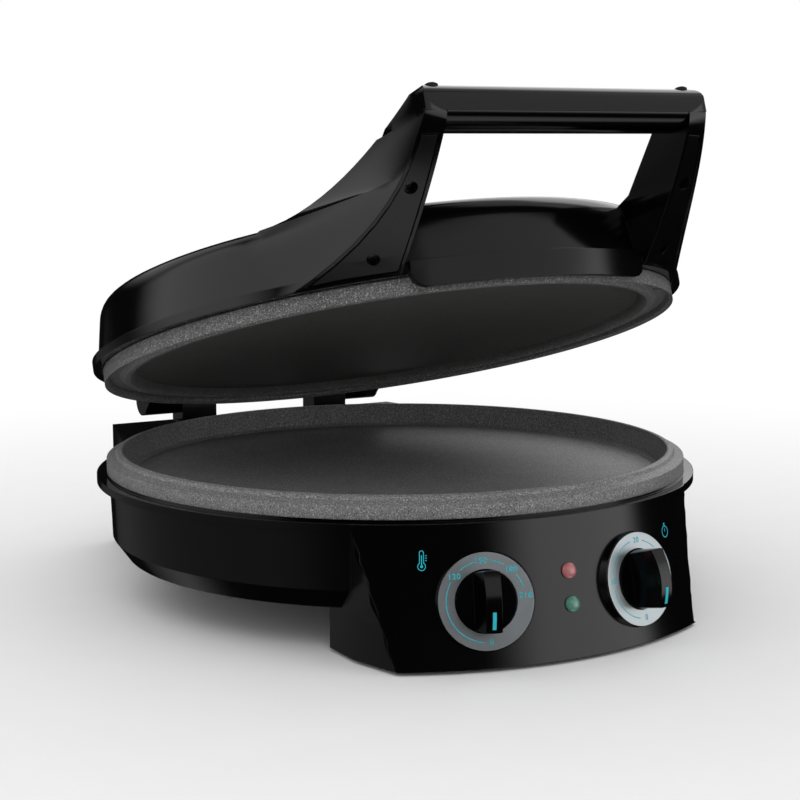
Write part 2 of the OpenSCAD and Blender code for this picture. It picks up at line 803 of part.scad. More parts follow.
module pedestal(side) {
  back = -dial_stand - 4;
  color("#0c0c0e") difference() {
    on_dial(side) difference() {
      translate([0, 0, back])
        cylinder(r1 = dial_radius + pedestal_flare, r2 = dial_radius - 0.4, h = -back - 1.3);
      translate([0, 0, back - 1]) cylinder(r = disc_r + 0.4, h = 20);
    }
    panel_solid(seat_gap);
  }
}

module dial_ring(colour) {
  color(colour) translate([0, 0, -1.2]) tube(dial_radius, dial_radius - dial_width, 1.2);
}

module dial_shaft() {
  color("#c4c7cb") translate([0, 0, body_front - 11]) cylinder(r = shaft_radius, h = 11 - body_front + 8);
}

// Side view of the grip, which is lower at its two ends
module grip_profile(rise) {
  length = 2 * disc_r - 0.4;
  crown = 3.5;
  rotate([90, 0, 90]) translate([0, 0, -dial_radius]) linear_extrude(2 * dial_radius)
    polygon([[length / 2, 0], for (i = [0:12]) [length * (0.5 - i / 12),
             grip_height + rise - crown * pow(1 - i / 6, 2)], [-length / 2, 0]]);
}

module knob() {
  color("#0b0b0d") difference() {
    union() {
      translate([0, 0, -disc_depth]) cylinder(r = disc_r, h = disc_depth + disc_top);
      intersection() {
        grip_profile(0);
        rotate([90, 0, 0]) translate([0, 0, -dial_radius]) linear_extrude(2 * dial_radius)
          polygon([[-grip_width / 2 - 2.6, 0], [grip_width / 2 + 2.6, 0],
                   [grip_width / 2 + 0.4, grip_height - 3],
                   [grip_width / 2, grip_height + 1], [-grip_width / 2, grip_height + 1],
                   [-grip_width / 2 - 0.4, grip_height - 3]]);
        cylinder(r = disc_r, h = grip_height + 1);
      }
    }
    translate([0, 0, -disc_depth - 1]) cylinder(r = 8.6, h = disc_depth);
    translate([0, 0, -disc_depth - 1]) cylinder(r = shaft_radius + press_gap, h = disc_depth + 9.2);
    pointer_slot(seat_gap);
  }
}

// Coloured pointer let into the grip
pointer_size = [1.8, 8.4];
pointer_depth = 3.6;
pointer_rise = 0.2;

module pointer_slot(gap) {
  translate([-pointer_size[0] / 2 - gap, 2 - disc_r, grip_height - pointer_depth - 2 - gap])
    cube([pointer_size[0] + 2 * gap, pointer_size[1] + gap, pointer_depth + 6]);
}

module pointer() {
  color("#1fb5c6") intersection() {
    pointer_slot(0);
    grip_profile(pointer_rise);
  }
}

// Bodies behind the panel
thermostat_r = 15;
thermostat_length = 18;
timer_size = [34, 30, 22];

module thermostat() {
  color("#e6e2d6") on_dial(-1) difference() {
    union() {
      translate([0, 0, body_front - thermostat_length]) cylinder(r = thermostat_r, h = thermostat_length);
      translate([0, 0, body_front - 1]) dial_bush(seat_top + nut_height - body_front + 1.5);
    }
    shaft_bore();
  }
}

module thermostat_nut() { on_dial(-1) dial_nut(); }
module thermostat_pedestal() { pedestal(-1); }
module thermostat_ring() { on_dial(-1) dial_ring("#6e7886"); }
module thermostat_shaft() { on_dial(-1) dial_shaft(); }
module thermostat_knob() { on_dial(-1) knob(); }
module thermostat_pointer() { on_dial(-1) pointer(); }

module timer() {
  color("#dcd9d0") on_dial(1) difference() {
    union() {
      translate([0, 0, body_front - timer_size[2] / 2]) cube(timer_size, center = true);
      translate([0, 0, body_front - 1]) dial_bush(seat_top + nut_height - body_front + 1.5);
    }
    shaft_bore();
  }
}

module timer_nut() { on_dial(1) dial_nut(); }
module timer_pedestal() { pedestal(1); }
module timer_ring() { on_dial(1) dial_ring("#a7adb6"); }
module timer_shaft() { on_dial(1) dial_shaft(); }
module timer_knob() { on_dial(1) knob(); }
module timer_pointer() { on_dial(1) pointer(); }

// Lid
shoulder_pull = lid_taper * (lid_height - 0.5 - shoulder_start_z) / (shoulder_start_z - lid_flange_thickness);
crown_start_r = lid_shoulder_r - 10;

function lid_outline(inset) = concat(
  [for (i = [0:8]) bezier2([lid_shoulder_r - inset, shoulder_start_z],
                           [lid_shoulder_r - shoulder_pull - inset, lid_height - 0.5 - inset],
                           [crown_start_r - inset, lid_height + 0.3 - inset], i / 8)],
  [for (i = [1:6]) bezier2([crown_start_r - inset, lid_height + 0.3 - inset],
                           [crown_start_r / 2, lid_height + lid_crown - inset],
                           [0, lid_height + lid_crown - inset], i / 6)]);

module lid_shell() {
  inner_r = lid_wall_r - wall;
  turned(concat(
    [[plate_radius, 0], [lid_flange_r, 0], [lid_flange_r, lid_flange_thickness],
     [lid_wall_r, lid_flange_thickness]],
    lid_outline(0), reversed(lid_outline(wall)),
    [[inner_r, upper_ledge_z + wall], [groove_r - 9, upper_ledge_z + wall], [groove_r - 9, upper_ledge_z],
     [inner_r, upper_ledge_z], [inner_r, 1.5]]));
}

module lid_inside() {
  turned(concat([[lid_wall_r - wall + 0.5, -50], [lid_wall_r - wall + 0.5, lid_flange_thickness]],
                lid_outline(wall - 0.5), [[0, -50]]));
}

// Front edges of an arm at a height, and the line between them
function arm_inner(z) = let (t = clamp(z / arm_break_z))
  [arm_gap + arm_splay * (1 - t), mix(arm_root_y, bar_front, t) - 4 * arm_bow * t * (1 - t)];
function arm_outer(z) = bezier3(arm_foot, arm_foot_pull, arm_top_pull, arm_top, clamp(z / arm_top_z));
function arm_along(z) = (arm_outer(z) - arm_inner(z)) / norm(arm_outer(z) - arm_inner(z));
function arm_inward(z) = [-arm_along(z)[1], arm_along(z)[0]];
function arm_slope() = (bar_front - arm_root_y) / arm_break_z;
function arm_width(z) = norm(arm_outer(z) - arm_inner(z));
function outer_rim(z, rim) = rim * norm([1, (arm_width(z) - arm_width(z + 1)) / norm([1, arm_slope()])]);

// Rear edge of an arm: on the lid's wall low down, and on the ridge's curve above
function ridge(t) = bezier3(ridge_top, ridge_high, ridge_low, ridge_end, t);
function wall_r(z) = z < shoulder_start_z
  ? mix(lid_wall_r, lid_shoulder_r, clamp(z / shoulder_start_z)) - 0.6
  : mix(lid_shoulder_r - 0.6, norm([ridge_end[0], ridge_end[1]]),
        (z - shoulder_start_z) / (ridge_end[2] - shoulder_start_z));
function arm_rear(z) =
  [each on_circle(wall_r(z), ridge_end_angle + 10 * (1 - pow(z / ridge_end[2], 2))), z];
function arm_crease(z, rear) =
  let (inside_y = 6 - sqrt(pow(wall_r(min(z, ridge_end[2])), 2) - pow(arm_gap, 2)),
       line_y = crease_top_y + crease_slope * (handle_height - z))
  [arm_gap, min(mix(inside_y, line_y, clamp((z - ridge_end[2] + 4) / 4)), rear[1] - 3)];

function arm_ring(z, rear) =
  let (outer = arm_outer(z), side = [rear[0], rear[1]] - outer,
       pull = outer + side / 2 + arm_hollow * [-side[1], side[0]])
  lifted(concat([arm_inner(z)], [for (i = [0:8]) bezier2(outer, pull, [rear[0], rear[1]], i / 8)],
                [arm_crease(z, rear)]), z);

module arm() {
  loft(concat(
    [for (i = [0:8]) let (z = ridge_end[2] * i / 8) arm_ring(z, arm_rear(z))],
    [for (i = [1:16]) let (rear = ridge(1 - i / 16)) arm_ring(rear[2], rear)]));
}

// Limits of the arms at the bar, a little inside its front, top and ends
module arm_limits() {
  step_z = bar_split + 0.5;
  rotate([90, 0, 90]) linear_extrude(400, center = true) polygon(concat(
    bar_front_top(arm_inset), [[bar_front + arm_inset, step_z], [bar_front - 5, step_z], [bar_front - 5, -1],
    [0, -1], [0, handle_height - arm_inset]]));
}

module arm_end_limits() {
  step_z = bar_split + 0.5;
  rotate([90, 0, 0]) linear_extrude(400) polygon(concat([[0, -1], [bar_half_length + 60, -1],
    [bar_half_length + 60, step_z], [bar_half_length - arm_inset, step_z]], bar_end_corner(arm_inset),
    [[0, handle_height - arm_inset]]));
}

// Solid that lies behind an arm's front face, between two depths
module arm_layer(rim, front, back, low_z, high_z) {
  steps = 8;
  loft([for (i = [0:steps]) let (
      z = mix(low_z, high_z, i / steps), u = arm_along(z) * rim,
      a = arm_inner(z) + u, b = arm_outer(z) - arm_along(z) * outer_rim(z, rim), v = arm_inward(z))
    lifted([a + v * front, b + v * front, b + v * back, a + v * back], z)]);
}

// Moves to an arm screw: Z runs out of the arm's face, z = 0 on the face
arm_screws_at = [[8, 0.43], [33.7, 0.53]];
face_lean = norm([1, arm_slope()]);

module on_arm(place) {
  z = place[0];
  p = mix(arm_inner(z), arm_outer(z), place[1]);
  n = cross([arm_along(z)[0], arm_along(z)[1], 0], [0, arm_slope(), 1]);
  translate([p[0], p[1], z]) rotate([0, acos(n[2] / norm(n)), atan2(n[1], n[0])]) children();
}

cover_recess = 0.6;
cover_low_z = 2;
cover_high_z = bar_bottom - 4;
cover_back = cover_recess + arm_cover_thickness * face_lean;
well_r = 3.3;
well_wall = 1.2;
well_depth = 7;
arm_screw_depth = 7;

module arm_cover() {
  color("#15161a") difference() {
    union() {
      arm_layer(arm_rim, cover_recess, cover_back, cover_low_z, cover_high_z);
      for (p = arm_screws_at) on_arm(p) translate([0, 0, -well_depth - well_wall])
        cylinder(r = well_r + well_wall, h = well_depth);
    }
    for (p = arm_screws_at) on_arm(p) {
      translate([0, 0, -well_depth]) cylinder(r = well_r, h = well_depth + 5);
      translate([0, 0, -well_depth - 5]) cylinder(r = screw_r + thread_gap, h = 10);
    }
  }
}

module arm_pocket() {
  arm_layer(arm_rim - side_gap, -8, cover_back + 2 * seat_gap,
            cover_low_z - side_gap, cover_high_z + side_gap);
  for (p = arm_screws_at) on_arm(p) {
    translate([0, 0, -well_depth - well_wall - seat_gap])
      cylinder(r = well_r + well_wall + seat_gap, h = well_depth);
    translate([0, 0, -well_depth - well_wall - arm_screw_depth]) cylinder(r = screw_r, h = arm_screw_depth);
  }
}

function bar_front_top(inset) =
  [for (i = [0:8]) bezier2([bar_front + 14, handle_height - inset],
                           [bar_front + 2 + inset, handle_height - 0.5 - inset],
                           [bar_front + inset, handle_height - 6.6], i / 8)];
function bar_end_corner(inset) = let (r = bar_corner - inset)
  [for (i = [0:8]) [bar_half_length - bar_corner + r * cos(11.25 * i),
                    handle_height - bar_corner + r * sin(11.25 * i)]];

module bar_section() {
  front_low = [for (i = [0:6]) bezier2([bar_front, bar_split], [bar_front + 1.5, bar_bottom + 1.5],
                                       [bar_front + 9, bar_bottom], i / 6)];
  rear_top = [for (i = [0:6]) [bar_back - 8 + 8 * cos(15 * i), handle_height - 8 + 8 * sin(15 * i)]];
  rear_low = [for (i = [0:6]) [bar_back - bar_heel + bar_heel * sin(15 * i),
                               bar_bottom + bar_heel - bar_heel * cos(15 * i)]];
  polygon(concat(rear_low, rear_top, bar_front_top(0), front_low));
}

module bar() {
  right = concat([[bar_half_length, 0]], bar_end_corner(0));
  from_above = [[bar_half_length + 1, bar_front - 1], [bar_half_length + 1, bar_front + 4],
                [ridge_top[0] - 3.5, bar_back + 1]];
  intersection() {
    rotate([90, 0, 90]) linear_extrude(2 * bar_half_length, center = true) bar_section();
    translate([0, bar_back + 1, 0]) rotate([90, 0, 0]) linear_extrude(bar_depth + 2)
      polygon(concat(right, mirrored(right)));
    linear_extrude(2 * handle_height) polygon(concat(from_above, mirrored(from_above)));
  }
}

module front_lip() {
  corner_z = lip_round - lip_drop;
  corner_x = lip_half_width - lip_round;
  intersection() {
    turned([[lip_r_inner, -lip_drop], [flange_r, -lip_drop], [flange_r, lip_top_z], [plate_radius, lip_top_z],
            [plate_radius, 1], [lip_r_inner, 1]]);
    translate([0, -100, 0]) rotate([90, 0, 0]) linear_extrude(100) polygon(concat(
      [[-lip_half_width, lip_top_z + 1]],
      [for (i = [0:8]) [-corner_x - lip_round * cos(11.25 * i), corner_z - lip_round * sin(11.25 * i)]],
      [for (i = [8:-1:0]) [corner_x + lip_round * cos(11.25 * i), corner_z - lip_round * sin(11.25 * i)]],
      [[lip_half_width, lip_top_z + 1]]));
  }
}

lip_r_inner = flange_r - lip_thickness;
leg_inner = lug_outer + leg_clearance;
leg_top_angle = 74;
leg_root = [plate_radius * 0.8, 25];
lead_turn_x = pin_outer + 3;

module lid_leg() {
  knuckle = [hinge_y, lid_hinge_z];
  translate([leg_inner, 0, 0]) rotate([90, 0, 90]) linear_extrude(leg_outer - leg_inner) polygon([
    knuckle + leg_radius * [cos(leg_top_angle), sin(leg_top_angle)], leg_root, [leg_root[0], 0],
    [lid_flange_r - 4, 0], knuckle + leg_radius * [cos(258), sin(258)],
    knuckle + leg_radius * [cos(330), sin(330)]]);
  translate([leg_inner, hinge_y, lid_hinge_z]) rotate([0, 90, 0])
    cylinder(r = leg_radius, h = leg_outer - leg_inner);
}

module leg_cuts() {
  translate([leg_inner - 1, hinge_y, lid_hinge_z]) rotate([0, 90, 0])
    cylinder(r = pin_radius + pin_clearance, h = pin_outer + 0.5 - leg_inner + 1);
  translate([leg_outer - 1.5, hinge_y - 32, lid_hinge_z - 1.5]) cube([5, 28, 5]);
}

module lead_channel() {
  translate([-pin_outer, hinge_y, lid_hinge_z]) rotate([0, -90, 0])
    cylinder(r = lead_r + 1, h = lead_turn_x - pin_outer + lead_r + 1);
  rod([-lead_turn_x, hinge_y, lid_hinge_z], [-lead_turn_x, leg_root[0] - 8, 20], lead_r + 0.8);
}

module lid_housing() {
  color("#0f1013") on_lid() difference() {
    union() {
      lid_shell();
      difference() {
        union() {
          for (side = [0, 1]) mirror([side, 0, 0]) {
            intersection() {
              arm();
              arm_limits();
              arm_end_limits();
            }
            lid_leg();
          }
          front_lip();
        }
        lid_inside();
      }
      intersection() {
        bar();
        translate([-plate_radius, bar_front - 1, bar_split])
          cube([2 * plate_radius, bar_depth + 2, bar_height]);
      }
    }
    for (side = [0, 1]) mirror([side, 0, 0]) {
      arm_pocket();
      leg_cuts();
      translate([pad_place[0], pad_place[1], handle_height - pad_sink - pad_depth])
        cylinder(r = pad_radius + seat_gap, h = 20);
    }
    lead_channel();
    around(plate_screw_angles, groove_r) cylinder(r = screw_r, h = upper_ledge_z + wall + 1);
  }
}

module handle_grip() {
  color("#0f1013") on_lid() intersection() {
    bar();
    translate([side_gap - arm_gap, bar_front - 1, bar_bottom - 1])
      cube([2 * (arm_gap - side_gap), bar_depth + 2, bar_split - seat_gap - bar_bottom + 1]);
  }
}

module arm_cover_left() { on_lid() mirror([1, 0, 0]) arm_cover(); }
module arm_cover_right() { on_lid() arm_cover(); }

module arm_screws() {
  color("#8f9296") on_lid() for (side = [0, 1], p = arm_screws_at) mirror([side, 0, 0]) on_arm(p)
    translate([0, 0, -well_depth + thread_gap]) mirror([0, 0, 1]) screw(arm_screw_depth);
}

module handle_pad() {
  color("#1c1c1e") translate([pad_place[0], pad_place[1], handle_height - pad_sink - pad_depth + seat_gap]) {
    cylinder(r = pad_radius, h = pad_depth + pad_edge);
    translate([0, 0, pad_depth + pad_edge])
      cylinder(r1 = pad_radius, r2 = pad_radius - 1.2, h = pad_height);
  }
}

module handle_pad_left() { on_lid() mirror([1, 0, 0]) handle_pad(); }
module handle_pad_right() { on_lid() handle_pad(); }

// Upper plate and what heats it
groove_z = -upper_floor - 2.5;
counterbore = head_h + 0.4;
upper_boss_z = upper_ledge_z - sheet - 2 * seat_gap;

module upper_plate() {
  flat_r = plate_radius - 20;
  rim_r = plate_radius - 0.9;
  t = plate_thickness;
  color("#4c4b4a") on_lid() difference() {
    union() {
      turned([
        [0, -upper_floor],
        [flat_r, -upper_floor],
        [flat_r + 2.5, -upper_floor - 3.5],
        [flat_r + 4.5, -upper_floor - 5],
        [flat_r + 7, -upper_floor - 5],
        [groove_r - 3, groove_z],
        [groove_r + 3, groove_z],
        [rim_r - 2.2, 1.4 - upper_drop],
        [rim_r, -upper_drop],
        [rim_r, -0.5],
        [plate_collar_r, 0.8],
        [plate_collar_r, t],
        [plate_collar_r - t / 2, t],
        [plate_collar_r - t / 2, groove_z + t],
        [groove_r - 4, groove_z + t],
        [flat_r + 6, t - upper_floor - 3],
        [flat_r + 4, t - upper_floor - 3],
        [flat_r + 1.5, upper_back_z],
        [0, upper_back_z]
      ]);
      around(plate_screw_angles, groove_r) translate([0, 0, groove_z + 1])
        cylinder(r = boss_r, h = upper_boss_z - groove_z - 1);
    }
    around(plate_screw_angles, groove_r) {
      translate([0, 0, groove_z - 1]) cylinder(r = head_r + seat_gap, h = counterbore + 1);
      translate([0, 0, groove_z]) cylinder(r = screw_r + thread_gap, h = upper_boss_z - groove_z + 1);
    }
  }
}

upper_heater_z = upper_back_z + 0.2 + heater_tube;
upper_reflector_z = upper_ledge_z + 10.4;
upper_ends_z = upper_reflector_z + 7;

module upper_heater() {
  color("#7d7f82") on_lid() translate([0, 0, upper_heater_z])
    heating_tube(180, upper_ends_z - upper_heater_z);
}

fuse_r = 2.5;
fuse_length = 18;
fuse_place = [0, 40, upper_back_z + seat_gap + fuse_r];
fuse_lead_x = fuse_length / 2 + 5;

module upper_reflector() {
  rim_z = upper_ledge_z - seat_gap;
  dish_r = groove_r - 11;
  color("#b9bcc0") on_lid() difference() {
    turned([
      [0, upper_reflector_z],
      [dish_r - 6, upper_reflector_z],
      [dish_r, rim_z],
      [groove_r + 3.5, rim_z],
      [groove_r + 3.5, rim_z - sheet],
      [dish_r - 0.5, rim_z - sheet],
      [dish_r - 6.5, upper_reflector_z - sheet],
      [0, upper_reflector_z - sheet]
    ]);
    around(plate_screw_angles, groove_r) cylinder(r = screw_r + seat_gap, h = upper_ledge_z + 5);
    around([180 - pin_angle, 180 + pin_angle], heater_ring)
      cylinder(r = heater_pin + 0.5, h = 2 * lid_height);
    translate([fuse_lead_x, fuse_place[1], upper_reflector_z / 2])
      cylinder(r = lead_r + 0.5, h = upper_reflector_z);
  }
}

module upper_plate_screws() {
  length = upper_ledge_z + wall - groove_z - counterbore;
  color("#8f9296") on_lid() around(plate_screw_angles, groove_r)
    translate([0, 0, groove_z + counterbore - thread_gap]) screw(length);
}

module thermal_fuse() {
  color("#d9cfa8") on_lid() translate(fuse_place - [fuse_length / 2, 0, 0])
    rotate([0, 90, 0]) cylinder(r = fuse_r, h = fuse_length);
}

module lid_wiring() {
  ends = on_circle(heater_ring, 180 - pin_angle);
  top = upper_ends_z + seat_gap;
  root = [-lead_turn_x, leg_root[0] - 8, 20];
  start = [-lead_turn_x, hinge_y, lid_hinge_z];
  color("#b8452c") on_lid() {
    lead([[-pin_outer - 0.5, hinge_y, lid_hinge_z], [1 - lead_turn_x, hinge_y, lid_hinge_z],
          mix(start, root, 0.06), root, [-60, leg_root[0] - 17, top + 4],
          [-ends[0] - 6, ends[1] + 2, top + 5], [-ends[0], ends[1], top + 2],
          [-ends[0], ends[1], top]], lead_r);
    lead([[ends[0], ends[1], top], [ends[0], ends[1], top + 2], [ends[0] - 1, ends[1] - 5, top + 5],
          [16, 60, top + 4], [fuse_lead_x, fuse_place[1] + 3, top], [fuse_lead_x, fuse_place[1], top - 4],
          [fuse_lead_x, fuse_place[1], fuse_place[2] + 4], [fuse_lead_x - 2, fuse_place[1], fuse_place[2]],
          [fuse_length / 2 + seat_gap, fuse_place[1], fuse_place[2]]], lead_r);
  }
}

// Puts the origin midway between the front of the timer's grip, or the panel's foot, and the gland's face
gland_flange = 3;
grip_lean = 0.75;
grip_front = on_panel(panel_r(dial_z), timer_angle)[1] - grip_width / 2 * sin(timer_turn)
           - ((dial_stand + grip_height) * cos(dial_tilt) + grip_lean) * cos(timer_turn);
front_most = min(grip_front, panel_axis_shift - panel_r(foot_height));
rear_most = rear_y + seat_gap + gland_flange;

module centred() {
  translate([0, -(front_most + rear_most) / 2, 0]) children();
}

centred() base_housing();
centred() front_panel();
centred() bowl_bottom();
centred() control_box_cover();
centred() rear_box_cover();
centred() cover_screws();
centred() foot_front_left();
centred() foot_front_right();
centred() foot_rear_left();
centred() foot_rear_right();
centred() lower_plate();
centred() lower_heater();
centred() lower_reflector();
centred() lower_plate_screws();
centred() plate_sensor();
centred() terminal_block();
centred() cord_gland();
centred() base_wiring();
centred() lamp_holder();
centred() red_lens();
centred() green_lens();
centred() hinge_pin_left();
centred() hinge_pin_right();
centred() thermostat();
centred() thermostat_nut();
centred() thermostat_pedestal();
centred() thermostat_ring();
centred() thermostat_shaft();
centred() thermostat_knob();
centred() thermostat_pointer();
centred() timer();
centred() timer_nut();
centred() timer_pedestal();
centred() timer_ring();
centred() timer_shaft();
centred() timer_knob();
centred() timer_pointer();
centred() lid_housing();
centred() handle_grip();
centred() arm_cover_left();
centred() arm_cover_right();
centred() arm_screws();
centred() handle_pad_left();
centred() handle_pad_right();
centred() upper_plate();
centred() upper_heater();
centred() upper_reflector();
centred() upper_plate_screws();
centred() thermal_fuse();
centred() lid_wiring();
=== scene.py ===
import json
from math import cos, pi, radians, sin

import bpy
from mathutils import Matrix, Quaternion, Vector


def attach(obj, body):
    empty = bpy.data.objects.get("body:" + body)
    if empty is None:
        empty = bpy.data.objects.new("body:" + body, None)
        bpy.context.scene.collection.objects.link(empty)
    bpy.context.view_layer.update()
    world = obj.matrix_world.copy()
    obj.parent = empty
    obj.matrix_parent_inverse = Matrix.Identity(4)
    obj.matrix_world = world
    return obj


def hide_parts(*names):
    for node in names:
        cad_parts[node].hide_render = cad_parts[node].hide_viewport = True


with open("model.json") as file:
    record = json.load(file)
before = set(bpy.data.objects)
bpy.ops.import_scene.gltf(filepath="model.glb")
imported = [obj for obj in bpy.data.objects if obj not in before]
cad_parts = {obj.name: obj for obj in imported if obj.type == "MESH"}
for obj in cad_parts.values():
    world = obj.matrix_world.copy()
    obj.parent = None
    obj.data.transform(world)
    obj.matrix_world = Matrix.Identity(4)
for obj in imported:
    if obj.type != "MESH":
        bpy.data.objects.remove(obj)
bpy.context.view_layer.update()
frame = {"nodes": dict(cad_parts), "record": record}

# Sizes that part.scad holds too, in metres
SHIFT = -0.0002989              # Y of the lower plate's axis
HINGE_BACK = 0.185              # from the plates' axes back to the hinge
HINGE_HIGH = 0.092
LID_TURN = radians(17.5)        # how far the lid stands open at rest
HINGE = Vector((0, HINGE_BACK + SHIFT, HINGE_HIGH))
PLATE_R = 0.166
RIM_FROM, RIM_WHOLE = 0.0195, 0.0155    # the upper plate's rim, inwards from its edge
FLANGE_R = 0.172
PANEL_AXIS = 0.004              # how far the panel's centre lies behind the plate's
PANEL_LOW, PANEL_TALL = 0.002, 0.070
PANEL_FLARE = 0.0151            # how far its foot stands out past its top
PANEL_SAG = 0.001               # how far its middle height lies inside a straight wall
PANEL_TILT = 10.9               # slope of the panel's upper part, in degrees
DIAL_HIGH, DIAL_TILT, DIAL_STAND = 0.0342, 12.4, 0.004

# Sizes of the printed marks
SCALE_R = 0.020                 # radius of the two scales
INK = 0.00006                   # half the height of a mark


# Shader maths

class Value:
    """A node's output that takes part in sums."""

    def __init__(self, finish, socket):
        self.finish, self.socket = finish, socket

    def sum(self, operation, first, second):
        return self.finish.add("ShaderNodeMath", {"operation": operation}, {0: first, 1: second})

    def __add__(self, other):
        return self.sum("ADD", self, other)

    def __radd__(self, other):
        return self.sum("ADD", other, self)

    def __sub__(self, other):
        return self.sum("SUBTRACT", self, other)

    def __rsub__(self, other):
        return self.sum("SUBTRACT", other, self)

    def __mul__(self, other):
        return self.sum("MULTIPLY", self, other)

    def __rmul__(self, other):
        return self.sum("MULTIPLY", other, self)

    def step(self, low, high):
        """0 below low and 1 above high, with a soft passage between them."""
        return self.finish.add("ShaderNodeMapRange", {"interpolation_type": "SMOOTHSTEP"},
                               {0: self, 1: low, 2: high, 3: 0.0, 4: 1.0})

    def between(self, low, high, soft):
        return self.step(low - soft, low + soft) * (1 - self.step(high - soft, high + soft))


class Finish:
    """A node tree in the making, of a material or of the world."""

    def __init__(self, owner):
        owner.use_nodes = True
        self.owner, self.tree = owner, owner.node_tree
        self.tree.nodes.clear()

    def add(self, kind, settings=None, inputs=None, out=0):
        node = self.tree.nodes.new(kind)
        for name, value in (settings or {}).items():
            setattr(node, name, value)
        for name, value in (inputs or {}).items():
            if isinstance(value, Value):
                self.tree.links.new(value.socket, node.inputs[name])
            elif isinstance(value, tuple) and node.inputs[name].type == "RGBA":
                node.inputs[name].default_value = (*value, 1)
            else:
                node.inputs[name].default_value = value
        return Value(self, node.outputs[out])

    def place(self):
        return self.add("ShaderNodeTexCoord", out="Object")

    def moved(self, offset=(0, 0, 0), turn=(0, 0, 0), scale=(1, 1, 1)):
        return self.add("ShaderNodeMapping", {}, {0: self.place(), 1: offset, 2: turn, 3: scale})

    def xyz(self, vector):
        first = self.add("ShaderNodeSeparateXYZ", {}, {0: vector})
        return [Value(self, socket) for socket in first.socket.node.outputs]

    def noise(self, scale, detail=2.0, rough=0.5, where=None):
        return self.add("ShaderNodeTexNoise", {}, {"Vector": where or self.place(), "Scale": scale,
                                                   "Detail": detail, "Roughness": rough})

    def mix(self, share, low, high):
        return self.add("ShaderNodeMix", {"data_type": "RGBA"},
                        {"Factor": share, 6: low, 7: high}, out=2)

    def bumped(self, height, depth, strength=1.0, edge=0.0):
        inputs = {"Strength": strength, "Distance": depth, "Height": height}
        if edge:
            inputs["Normal"] = self.add("ShaderNodeBevel", {"samples": 4}, {"Radius": edge})
        return self.add("ShaderNodeBump", {}, inputs)

    def surface(self, **sockets):
        names = {"colour": "Base Color", "rough": "Roughness", "metal": "Metallic", "normal": "Normal",
                 "specular": "Specular IOR Level", "coat": "Coat Weight", "coat_rough": "Coat Roughness"}
        shader = self.add("ShaderNodeBsdfPrincipled", {}, {names[k]: v for k, v in sockets.items()})
        return self.show(shader)

    def show(self, shader, kind="ShaderNodeOutputMaterial"):
        self.tree.links.new(shader.socket, self.tree.nodes.new(kind).inputs["Surface"])
        return self.owner


def new_finish(name):
    return Finish(bpy.data.materials.new(name))


# Finishes

def moulded(name, colour, rough, grain=0.00001, edge=0.0005, specular=0.5, wave=0.05):
    """Moulded plastic: slow changes in its gloss, a fine grain, and a little dust."""
    f = new_finish(name)
    slow = f.noise(14.0, 3.0)
    dust = f.noise(420.0, 4.0, 0.7).step(0.64, 0.82)
    return f.surface(
        colour=f.mix(dust * 0.4, colour, tuple(c * 1.4 + 0.002 for c in colour)),
        rough=rough + wave * (slow - 0.5) + 0.05 * dust,
        normal=f.bumped(f.noise(2600.0) + 5.0 * slow, grain, 0.5, edge), specular=specular)


def speckled(f, ground, dark, light, dark_share, light_share, scale=1.0):
    """Colour, bump and grain of a cast coating with dark and light specks."""
    small = f.noise(1500.0 / scale, 2.0, 0.6)
    other = f.noise(1250.0 / scale, 2.0, 0.6, f.moved((3.1, 1.7, 0.4)))
    cloud = f.noise(60.0, 3.0)
    base = f.mix(cloud, tuple(c * 0.8 for c in ground), tuple(c * 1.2 for c in ground))
    base = f.mix(other.step(0.52, 0.66) * light_share, base, light)
    base = f.mix((1 - small.step(0.36, 0.48)) * dark_share, base, dark)
    return base, f.bumped(small + other, 0.00005, 0.6, 0.0006), small


def stone_coat(name):
    f = new_finish(name)
    colour, normal, grain = speckled(f, (0.17, 0.17, 0.172), (0.035, 0.035, 0.036),
                                     (0.46, 0.46, 0.46), 0.85, 0.75)
    return f.surface(colour=colour, rough=0.38 + 0.2 * grain, normal=normal, specular=0.35)


def lid_radius(f):
    """Distance from the upper plate's axis, with the lid at rest."""
    across = Vector((0, cos(LID_TURN), -sin(LID_TURN)))
    centre = HINGE - across * HINGE_BACK
    x, y, z = f.xyz(f.place())
    along = (y - centre.y) * across.y + (z - centre.z) * across.z
    return f.add("ShaderNodeMath", {"operation": "SQRT"}, {0: x * x + along * along})


def dark_coat(name):
    f = new_finish(name)
    rim = lid_radius(f).step(PLATE_R - RIM_FROM, PLATE_R - RIM_WHOLE)
    flat, normal, grain = speckled(f, (0.062, 0.0595, 0.057), (0.015, 0.015, 0.015), (0.19, 0.184, 0.178),
                                   0.7, 0.6, 0.9)
    edge = speckled(f, (0.11, 0.11, 0.111), (0.02, 0.02, 0.02), (0.40, 0.40, 0.40), 0.85, 0.75)[0]
    return f.surface(colour=f.mix(rim, flat, edge), rough=0.36 + 0.2 * grain, normal=normal,
                     specular=0.35)


